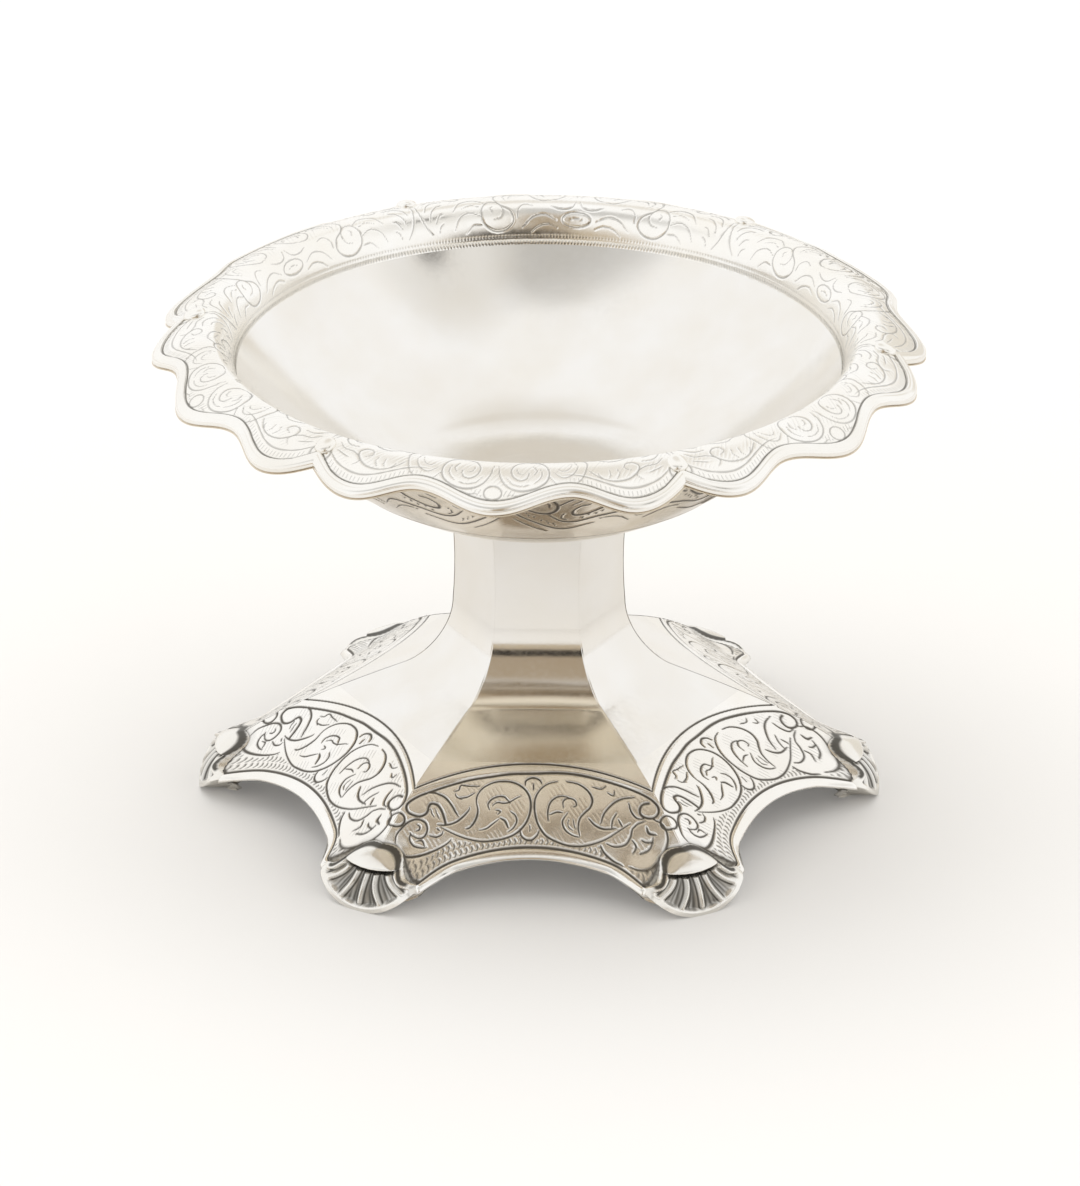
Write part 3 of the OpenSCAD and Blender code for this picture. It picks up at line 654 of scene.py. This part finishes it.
# Border line with its curled ends
strokes.line([(0, 0.1), (-2.7, 0.2), (-5.0, 0.6), (-7.5, 1.1), (-9.7, 1.8), (-12.0, 2.7), (-13.8, 3.5),
              (-14.9, 4.3), (-15.2, 4.9), (-15.0, 5.6), (-14.4, 6.0), (-13.6, 6.2), (-12.9, 5.9),
              (-12.6, 5.4), (-12.5, 4.9), (-12.3, 4.5), (-11.8, 4.5), (-11.4, 4.7), (-11.0, 5.3),
              (-10.7, 6.1), (-10.5, 6.8), (-10.4, 7.3)], 0.15, False)
strokes.line([(0, 0.1), (2.8, 0.0), (5.1, 0.2), (7.3, 0.7), (9.6, 1.4), (11.9, 2.3), (13.8, 3.3), (14.8, 4.2),
              (15.1, 4.9), (15.0, 5.6), (14.4, 6.1), (13.5, 6.0), (12.9, 5.5), (12.9, 4.7), (13.3, 4.2),
              (13.9, 4.1)], 0.15, False)
# Leaves left of the left scroll
strokes.line([(-12.8, 3.0), (-11.8, 3.0), (-10.6, 3.6), (-9.8, 4.6), (-9.3, 5.5), (-8.9, 6.2)])
strokes.line([(-11.4, 7.3), (-10.3, 7.3), (-9.2, 6.9), (-8.3, 6.1), (-7.7, 5.3), (-7.6, 4.9)])
strokes.line([(-6.7, 4.6), (-6.6, 5.3), (-6.7, 6.1), (-7.0, 6.9), (-7.5, 7.6), (-8.0, 7.8)])
strokes.line([(-9.7, 2.8), (-9.0, 2.6), (-8.7, 1.9), (-7.7, 2.0), (-6.5, 2.0)], 0.09)
strokes.line([(-8.9, 3.7), (-7.9, 3.5), (-7.0, 2.9)], 0.09)
strokes.line([(-9.4, 3.0), (-9.2, 3.5), (-8.5, 3.9)], 0.08)
strokes.line([(-12.3, 5.1), (-12.1, 5.8), (-11.8, 6.4)], 0.07)
strokes.line([(-11.7, 5.2), (-11.5, 5.9), (-11.1, 6.6)], 0.07)
# Left round scroll
strokes.line([(-6.7, 4.9), (-6.8, 3.6), (-6.3, 2.5), (-5.5, 1.8), (-4.5, 1.35), (-3.5, 1.25), (-2.6, 1.35),
              (-1.7, 1.75), (-0.9, 2.5), (-0.4, 3.5), (-0.25, 4.8), (-0.5, 6.2), (-1.1, 7.4), (-2.1, 8.4),
              (-3.4, 9.0), (-4.8, 9.3), (-6.1, 9.4), (-7.7, 9.1), (-9.1, 8.6), (-10.3, 8.0),
              (-11.0, 7.6)], 0.13)
strokes.line([(-5.2, 5.2), (-5.4, 4.5), (-5.0, 3.8), (-4.2, 3.4), (-3.5, 3.4), (-3.1, 3.8),
              (-2.7, 4.3)], 0.11)
strokes.line([(-4.9, 4.7), (-4.3, 4.2), (-3.5, 4.3), (-2.8, 4.1), (-1.9, 3.5), (-1.4, 3.3)], 0.09)
strokes.line([(-4.5, 5.2), (-3.9, 5.4), (-4.2, 5.8)], 0.09)
strokes.line([(-3.9, 6.3), (-3.3, 6.7), (-2.9, 7.6)], 0.14)
strokes.line([(-4.1, 6.5), (-4.8, 7.1), (-5.5, 7.7), (-6.4, 8.0)], 0.1)
strokes.line([(-2.7, 5.4), (-2.1, 5.9), (-1.9, 6.7), (-2.3, 7.6), (-3.0, 8.2)], 0.1)
# Buds between the two scrolls
strokes.line([(-1.0, 1.8), (-0.9, 1.1), (-0.1, 0.7), (0.7, 1.0), (1.0, 1.5)])
strokes.line([(0, 1.5), (0, 2.5)], 0.08)
strokes.line([(-1.5, 7.7), (-1.3, 8.6), (-0.7, 9.1), (0.0, 9.1), (0.6, 8.5), (0.8, 7.9)])
strokes.line([(-0.3, 7.2), (-0.3, 8.1)], 0.08)
# Right round scroll
strokes.line([(2.9, 1.2), (1.7, 1.55), (0.8, 2.4), (0.25, 3.6), (0.2, 5.1), (0.6, 6.9), (1.5, 8.4),
              (2.7, 9.2), (4.4, 9.8), (6.4, 9.8), (8.7, 9.0), (10.7, 7.6), (11.8, 6.8)], 0.13)
strokes.line([(3.9, 1.2), (5.3, 1.5), (6.5, 2.4), (7.1, 3.6), (6.9, 4.7), (6.3, 5.4), (5.7, 6.2), (5.5, 7.3),
              (5.7, 8.6)], 0.13)
strokes.line([(1.9, 6.7), (1.8, 5.4), (2.1, 4.1), (3.0, 3.3), (4.2, 3.3)], 0.11)
strokes.line([(2.0, 5.8), (2.9, 5.4), (3.6, 5.5)], 0.1)
strokes.line([(4.2, 5.5), (3.6, 6.6), (3.9, 7.7), (4.7, 8.4), (5.6, 8.7)], 0.11)
strokes.line([(3.7, 4.9), (3.6, 4.0), (4.2, 3.5), (5.0, 3.8), (5.2, 4.5), (4.8, 4.7)], 0.1)
strokes.line([(4.3, 6.4), (4.3, 7.3), (4.9, 7.9)], 0.07)
strokes.line([(4.8, 6.2), (5.0, 7.1), (5.2, 7.8)], 0.07)
# Leaves right of it
strokes.line([(8.2, 6.9), (8.6, 5.5), (9.7, 4.1), (10.8, 3.5), (12.2, 3.3)])
strokes.line([(6.7, 6.2), (7.5, 7.1), (8.6, 7.6), (10.1, 7.5)])
strokes.line([(9.5, 7.7), (9.6, 6.5), (10.1, 5.4)], 0.1)
strokes.line([(10.3, 6.3), (10.8, 7.3)], 0.1)
strokes.line([(11.5, 4.1), (11.8, 5.2), (12.5, 6.1), (13.4, 6.2)], 0.12)
strokes.line([(7.0, 1.9), (8.1, 2.2), (8.7, 1.8)], 0.09)
strokes.line([(8.9, 2.7), (9.6, 3.1), (9.8, 2.4)], 0.09)
# Left lower spiral over the shell
strokes.line([(-16.4, 9.7), (-16.3, 8.7), (-15.6, 7.7), (-14.8, 6.9), (-13.8, 6.6), (-12.9, 7.0),
              (-12.6, 7.9), (-12.9, 8.8), (-13.6, 9.1), (-14.3, 8.8), (-14.7, 8.4)])
strokes.line([(-13.8, 7.3), (-13.5, 7.6), (-13.6, 8.0), (-14.0, 8.2)], 0.11)
strokes.line([(-14.6, 8.4), (-14.7, 9.2), (-14.3, 10.0), (-13.5, 10.3), (-12.7, 10.3)], 0.12)
strokes.line([(-13.9, 9.5), (-13.2, 9.4), (-12.9, 10.1)], 0.1)
strokes.line([(-12.4, 8.7), (-11.6, 8.9), (-10.9, 8.6), (-10.7, 8.1)], 0.11)
strokes.line([(-11.5, 7.7), (-11.1, 8.1)], 0.09)
strokes.line([(-9.7, 9.2), (-10.4, 9.9), (-11.8, 10.7), (-13.4, 11.2), (-15.0, 11.3), (-15.9, 10.8),
              (-16.5, 10.0)])
# Right lower spiral
strokes.line([(12.6, 6.9), (12.0, 7.6), (11.8, 8.6), (11.2, 9.6), (10.0, 9.9), (8.9, 9.5)])
strokes.line([(13.7, 7.3), (14.0, 8.1), (14.9, 8.3)], 0.16)
strokes.line([(14.5, 8.6), (14.4, 9.2), (13.7, 9.3), (13.1, 9.0)], 0.12)
strokes.line([(14.5, 9.3), (14.0, 10.3), (12.9, 10.8)])
strokes.line([(14.4, 6.2), (15.6, 6.9), (16.2, 8.2), (16.2, 9.6), (15.5, 11.1), (14.4, 12.1), (13.0, 12.4),
              (11.7, 12.2)])
strokes.line([(8.2, 9.7), (8.7, 10.7), (9.8, 11.7), (11.0, 12.2)])
strokes.line([(12.0, 9.0), (12.5, 9.9), (12.1, 10.8)], 0.11)
strokes.line([(12.0, 7.6), (12.6, 6.9), (13.5, 6.5)], 0.11)
for arris_side in (-1, 1):
    strokes.ring(arris_side * 16.3, 6.64, 0.95, 0.13)
# The strokes were drawn a little wide of the arrises, and a little thin
DRAWN_WIDE, BOLD = 0.96, 1.25
panel_cut_and_shade = strokes.cut(px / DRAWN_WIDE, py, BOLD)

# Raised band over the panel, the line along the arch, and the rows of short strokes above it
BAND_HALF_W, ROW = 13.8, 0.62
upper_groove = 2.45 * (px / BAND_HALF_W) ** 2 + 1.3 * ((px / BAND_HALF_W) ** 2 - 1)
band_low = 0.05 + 2.6 * (px / 13.0) ** 2
panel_cut_and_shade = np.maximum(panel_cut_and_shade, stripe(py, upper_groove, 0.19))
arch_gap = np.hypot(px, panel[..., 2] - ARCH_H + ARCH_R) - ARCH_R
panel_cut_and_shade = np.maximum(panel_cut_and_shade, stripe(arch_gap, SKIRT_W + 0.12, 0.18))
# Lower edge of the scrolls: place across the panel, distance down it
edge_points = np.array([(-15.4, 11.6), (-13.4, 11.6), (-11.6, 11.0), (-9.5, 9.3), (-7.7, 9.4), (-5.7, 9.6),
                        (-3.9, 9.4), (-2.5, 8.8), (-1.5, 8.4), (-0.7, 9.2), (0.7, 9.1), (1.8, 8.7),
                        (2.8, 9.5), (4.4, 10.0), (6.4, 10.0), (8.0, 9.6), (8.9, 10.9), (11.2, 12.4),
                        (13.0, 12.6), (15.3, 11.6)])
contour = np.interp(px / DRAWN_WIDE, edge_points[:, 0], edge_points[:, 1])
over_wire = arch_gap - SKIRT_W - 0.3
hatched = ease((py - contour) / 0.15) * ease(over_wire / 0.12)
row = np.floor(over_wire / ROW)
zigzag = dashes(px + 0.45 * np.abs(over_wire / ROW - row - 0.5) + 0.2 * row, ROW, 0.55)
panel_cut_and_shade = np.maximum(panel_cut_and_shade, 0.75 * hatched * zigzag * ease(stripe(over_wire / ROW - row, 0.5, 0.5) * 2))
# Fine strokes in the ground between the leaves
inner_ground = ease((py - band_low - 0.4) / 0.3) * ease((contour - py) / 0.3) * ease(16 - np.abs(px))
patches = ease(np.sin(px * 1.3 + 1) * np.sin(py * 1.1 + px * 0.5) * 2)
panel_cut_and_shade = np.maximum(panel_cut_and_shade, 0.28 * inner_ground * dashes(px * 0.9 - 0.5 * py, 0.5, 0.5) * patches)
# Under a shell the sheet lies a little deeper; along the shell's edge a dark joint line is cut, and painted
# shade darkens the open panel beside the shell
shell_w = np.abs(CORNER_COS * np.abs(px) + CORNER_SIN * panel[..., 1])
shell_up = np.interp(shell_w, SHELL_TOP[:, 0], SHELL_TOP[:, 1], right=SHELL_SIDE_Z) - panel[..., 2]
shell_in = np.minimum(shell_up, FAN_R - np.hypot(shell_w, panel[..., 2] - FAN_MID_Z))
# A dark joint line within 0.28 mm of the shell's edge, and painted shade that fades out 1.4 mm outside it
shade = 0.8 * ease(1 - np.abs(shell_in) / 0.28) + 0.22 * ease(1 + shell_in / 1.4) * (shell_in < 0)
panel_cut_and_shade = np.maximum(panel_cut_and_shade, shade)
raised = ease((py - upper_groove - 0.1) / 0.25) * ease((band_low - py) / 0.25)
run_out = flare(px, panel[..., 2])
hidden = (UNDER_SHELL + run_out) * ease((shell_in - 0.05) / 0.35)
panel_height = BAND_HEIGHT * raised - PANEL_DEPTH * panel_cut_and_shade - hidden
panel = panel + grid_normals(panel) * panel_height[..., None] - run_out[..., None] * [0, 1, 0]
for k in range(SIDES):
    new_piece(f"foot_panel_{k + 1}", [turned(panel, STEP * k)], ["domed_foot"],
              chased, [panel_cut_and_shade])

# Inside of the foot
lining = np.array([[p[0], max(p[1], 0)] for p in beside(side_line, BASE_GAUGE)])
lining = lining[lining[:, 0] > PILLAR_FOOT_R * FLAT - 1.1]
lining_along = lengths(lining)
coarse = side_places(40, 0.3)
stops = []
for a in coarse:
    x = a * lining[:, 0] * math.tan(STEP / 2)
    gap = lining[:, 1] - np.maximum(arch_z(x), ARCH_LOW)
    low = max(1, np.argmax(gap <= 0))
    stops.append(lining_along[low])
down = np.linspace(0, 1, 60)[:, None] * np.array(stops)[None, :]
flat_points = at(lining, down)
side = on_side(flat_points[..., 0], flat_points[..., 1], coarse[None, :], LINING_ARRIS)
new_piece("foot_lining", six_times(side), ["domed_foot"], polished, flip=True)

# Wires along the arches
theta = np.arcsin(np.linspace(-ARCH_END, ARCH_END, 161) / ARCH_R)
profile = np.array([(SKIRT_W, -0.1), (SKIRT_W, 0.1), (0.84, 0.2), (0.72, 0.25), (0.35, 0.25), (0.15, 0.19),
                    (0.04, 0.05), (0.0, -0.15), (0.0, -0.6), (0.03, -0.95), (0.15, -1.05)])
arc_r = ARCH_R + profile[:, :1]
ax = arc_r * np.sin(theta)[None, :]
az = ARCH_H - ARCH_R + arc_r * np.cos(theta)[None, :]
outer_part = profile[:, 1:] > -0.9
out = np.interp(-az, -side_line[:, 1], side_line[:, 0]) + profile[:, 1:] + flare(ax, az) * outer_part
out = out - SINK * ease((np.abs(ax) - SINK_X) / SINK_W) * outer_part
ring = np.stack([ax, -out, az], -1)
for k in range(SIDES):
    new_piece(f"arch_border_{k + 1}", [turned(ring, STEP * k)],
              [f"skirt_wire_{k + 1}"], border)

# Shell feet
fan_half = math.acos((FAN_MID_Z - SHELL_SIDE_Z) / FAN_R)
a = np.linspace(-fan_half, fan_half, 160)
fan = np.stack([FAN_R * np.sin(a), np.maximum(FAN_MID_Z - FAN_R * np.cos(a), 0)], -1)
shell_top = smooth_line(np.vstack([SHELL_TOP[::-1], SHELL_TOP[1:] * [-1, 1]]))
outline = even(joined(fan, shell_top), 361)
centre = np.array([0, 3.4])


def shell_r(z):
    return np.interp(-z, -corner_line[:, 1], corner_line[:, 0]) - SHELL_AXIS_R + SHELL_PROUD


def far_from(line, x, y):
    """Distance of each point from a line of close points."""
    far = np.full(x.shape, 99.0)
    for a, b in line:
        far = np.minimum(far, np.hypot(x - a, y - b))
    return far


q = np.maximum(np.linspace(0, 1, 79) ** 0.85, TINY)[:, None, None]
plan = centre + (outline - centre)[None] * q
w, z = plan[..., 0], plan[..., 1]
off = np.abs(w)
# Thin ridges that curl outwards from under the hood, with hollow flutes between them
ridge_lines = [[(0, 4.8), (0.05, 3.2), (0, 1.0)]]
for turn_ in (-1, 1):
    ridge_lines.append([(1.15 * turn_, 4.8), (1.25 * turn_, 3.7), (1.65 * turn_, 2.6), (2.6 * turn_, 1.2)])
    ridge_lines.append([(2.3 * turn_, 4.9), (2.75 * turn_, 4.0), (3.7 * turn_, 3.2), (5.2 * turn_, 2.4)])
ridge_far = np.min([far_from(smooth_line(line, 0.08), w, z) for line in ridge_lines], axis=0)
top_far = far_from(shell_top[::2], w, z)
brim_far = FAN_R - np.hypot(w, z - FAN_MID_Z)
lip = np.where(off < HOOD_W, HOOD_Z + 0.03 * off ** 2, 9)
top = np.interp(off, SHELL_TOP[:, 0], SHELL_TOP[:, 1])
flute = 1 - np.exp(-(ridge_far / RIDGE_W) ** 2)
hollow = ease(ridge_far / HOLLOW_W)
spread = np.arctan2(w, 6.2 - z)
streaks = 0.5 + 0.5 * np.sin(61 * spread + 1.3 * np.sin(17 * spread) + 0.5 * z)
inside_fan = ease((brim_far - 0.5) / 0.5) * ease((top_far - 0.35) / 0.5) * (z < lip)
under_lip = (off < HOOD_W) * stripe(z, lip - 0.16, 0.3) * ease((HOOD_W - off) / 1.2)
side_groove = stripe(top_far, 0.1, 0.17) * ease((5.6 - off) / 0.6)
up = np.clip((z - lip) / (top - lip + 1e-6), 0, 1)
hood_span = np.sqrt(np.clip(1 - (off / HOOD_W) ** 2, 0, 1))
hood = (z >= lip) * np.sqrt(1 - up ** 2.4) * (1 - np.exp(-up / 0.08)) * hood_span
height = (-(FLUTE_DEPTH * flute + HOLLOW_DEPTH * hollow) * inside_fan + HOOD_RISE * hood
          - UNDER_HOOD * under_lip - SIDE_GROOVE * side_groove)
# The oxide in the flutes, thinner towards the sides
fan_cut = inside_fan * (0.13 + (0.38 * flute + 0.3 * hollow * streaks) * (1 - 0.5 * ease((off - 2.6) / 2.5)))
cut = np.max([fan_cut, under_lip, side_groove], axis=0)
cut = np.maximum(cut, inside_fan * 0.9 * stripe(ridge_far, 0.45, 0.17) * ease((4.6 - z) / 0.5))
face_r = shell_r(z)
out = np.sqrt(np.maximum(face_r ** 2 - w ** 2, 0.01))
x = SHELL_AXIS_R + out
dome = np.interp(-z, -corner_line[:, 1], corner_line[:, 0])
dome = dome - math.tan(STEP / 2) * (np.sqrt(w ** 2 + 0.2) - 0.45)
dome = dome + flare(CORNER_SIN * dome - CORNER_COS * off, z) / FLAT
to_dome = ease(1 - top_far / 0.9)
x = x + (dome + 0.1 - x) * to_dome
x = x + height * out / face_r
y = w + height * w / face_r
face = np.stack([x, y, np.maximum(z, 0)], -1)
ring = face[-1]
depth = np.linspace(0, 1, 10)[:, None]
inwards = ring[None, :, 0] - depth * (SHELL_GAUGE - 0.6)
edge_wall = np.stack([inwards, ring[None, :, 1] + 0 * inwards, ring[None, :, 2] + 0 * inwards], -1)
middle = edge_wall[-1].mean(axis=0)
back = middle + (edge_wall[-1] - middle)[None] * np.linspace(1, 0.002, 8)[:, None, None]
for k in range(SIDES):
    new_piece(f"shell_{k + 1}", [turned(part, STEP * k) for part in (face, edge_wall, back)],
              [f"shell_foot_{k + 1}"], cast, [cut, None, None])


# Studio
def plain(name, colour, seen):
    """A matt surface that is lifted a little towards white for the camera alone."""
    material = bpy.data.materials.new(name)
    material.use_nodes = True
    tree = material.node_tree
    nodes, link = tree.nodes, tree.links.new
    shader = nodes["Principled BSDF"]
    shader.inputs["Base Color"].default_value = (*colour, 1)
    shader.inputs["Roughness"].default_value = 0.9
    shader.inputs["Specular IOR Level"].default_value = 0.1
    glow = nodes.new("ShaderNodeEmission")
    glow.inputs["Color"].default_value = (1, 1, 1, 1)
    path = nodes.new("ShaderNodeLightPath")
    link(maths(tree, "MULTIPLY", path.outputs["Is Camera Ray"], seen), glow.inputs["Strength"])
    both = nodes.new("ShaderNodeAddShader")
    link(shader.outputs[0], both.inputs[0])
    link(glow.outputs[0], both.inputs[1])
    link(both.outputs[0], nodes["Material Output"].inputs["Surface"])
    return material


# Floor; its lengths and the lamp's are in metres, the camera's in millimetres
FLOOR_HALF, FLOOR_COLOUR, FLOOR_SEEN = 3.0, (0.65, 0.64, 0.625), 0.1
floor_mesh = bpy.data.meshes.new("floor")
corners = [(FLOOR_HALF * x, FLOOR_HALF * y, 0) for x, y in ((-1, -1), (1, -1), (1, 1), (-1, 1))]
floor_mesh.from_pydata(corners, [], [(0, 1, 2, 3)])
floor_mesh.materials.append(plain("pale_floor", FLOOR_COLOUR, FLOOR_SEEN))
floor = bpy.data.objects.new("floor", floor_mesh)
bpy.context.scene.collection.objects.link(floor)

# The room: white all round, with a few soft darker places that the silver mirrors
ROOM_COLOUR = (0.98, 0.975, 0.965)
# Each place: azimuth from +X towards +Y, elevation, degrees out to which it is full and at which it ends,
# colour, and how much flatter than round it is
DARKER_PLACES = (
    (90, 62, 5, 22, (0.8, 0.77, 0.72)),
    (-90, 57, 10, 62, (0.57, 0.56, 0.54), 3.2),
    (-42, 50, 8, 26, (0.83, 0.815, 0.785)),
    (-90, 8, 20, 50, (0.54, 0.45, 0.33), 2.5),
    (-91, 30, 5, 13, (0.4, 0.32, 0.225), 0.55),
    (-38, 49, 2, 7, (0.12, 0.11, 0.1)),
    (-79, 12, 17, 26, (0.04, 0.035, 0.03), 3.9),
    (66, 8, 12, 17, (0.78, 0.74, 0.67)),
)
world = bpy.data.worlds.new("studio")
bpy.context.scene.world = world
world.use_nodes = True
room_tree = world.node_tree
nodes, link = room_tree.nodes, room_tree.links.new
way = nodes.new("ShaderNodeTexCoord").outputs["Generated"]


def way_along(axis):
    """How far the direction of a ray goes along an axis."""
    dot = nodes.new("ShaderNodeVectorMath")
    dot.operation = "DOT_PRODUCT"
    dot.inputs[1].default_value = axis
    link(way, dot.inputs[0])
    return dot.outputs["Value"]


def soft_place(colour, azimuth, elevation, inner, outer, tone, squash=1.0):
    """Blends a tone over the room within an angle of a direction; squash flattens it towards the horizon."""
    a, e = math.radians(azimuth), math.radians(elevation)
    centre = Vector((math.cos(a) * math.cos(e), math.sin(a) * math.cos(e), math.sin(e)))
    side = Vector((-math.sin(a), math.cos(a), 0))
    squares = []
    for axis in (side, centre.cross(side) * squash):
        part = way_along(axis)
        squares.append(maths(room_tree, "MULTIPLY", part, part))
    near, far = (math.sin(math.radians(angle)) ** 2 for angle in (inner, outer))
    fall = ranged(room_tree, maths(room_tree, "ADD", *squares), near, far, 1, 0, "SMOOTHSTEP")
    in_front = maths(room_tree, "GREATER_THAN", way_along(centre), 0)
    return blend(room_tree, maths(room_tree, "MULTIPLY", fall, in_front), colour, tone)


room = ROOM_COLOUR
for place in DARKER_PLACES:
    room = soft_place(room, *place)
link(room, nodes["Background"].inputs["Color"])
# The room lights matt surfaces more strongly than it is seen or mirrored
ROOM_LIGHTS, ROOM_SEEN = 1.5, 1.05
path = nodes.new("ShaderNodeLightPath")
direct = maths(room_tree, "MAXIMUM", path.outputs["Is Camera Ray"], path.outputs["Is Glossy Ray"])
link(ranged(room_tree, direct, 0, 1, ROOM_LIGHTS, ROOM_SEEN), nodes["Background"].inputs["Strength"])

# Lamp over the piece, hidden from reflections
LAMP_PLACE, LAMP_SIDE, LAMP_POWER, LAMP_AIM = Vector((-0.3, 0.4, 1.2)), 1.1, 3.6, Vector((0, 0, 0.03))
light = bpy.data.lights.new("key", "AREA")
light.shape = "RECTANGLE"
light.size, light.size_y = LAMP_SIDE, LAMP_SIDE
light.energy = LAMP_POWER
lamp = bpy.data.objects.new("key", light)
lamp.location = LAMP_PLACE
lamp.visible_glossy = False
lamp.rotation_euler = (LAMP_AIM - LAMP_PLACE).to_track_quat("-Z", "Y").to_euler()
bpy.context.scene.collection.objects.link(lamp)

# Camera, where the photograph was taken from
TILT, SWING, DISTANCE, AIM_Z = 0.4328, 0.0273, 1600.0, 24.55
FOCAL_PX, SHIFT_PX, PHOTO_H_PX, SENSOR = 13730.0, 0.97, 1186, 36
away = Vector((math.sin(SWING) * math.cos(TILT), -math.cos(SWING) * math.cos(TILT), math.sin(TILT)))
camera_data = bpy.data.cameras.new("camera")
camera_data.sensor_width = SENSOR
camera_data.lens = FOCAL_PX * SENSOR / PHOTO_H_PX
camera_data.shift_x = SHIFT_PX / PHOTO_H_PX
camera_data.clip_start, camera_data.clip_end = 0.05, 20
camera = bpy.data.objects.new("camera", camera_data)
camera.location = (Vector((0, 0, AIM_Z)) + away * DISTANCE) * MM
camera.rotation_euler = (-away).to_track_quat("-Z", "Y").to_euler()
bpy.context.scene.collection.objects.link(camera)
bpy.context.scene.camera = camera
bpy.context.scene.view_settings.view_transform = "Standard"
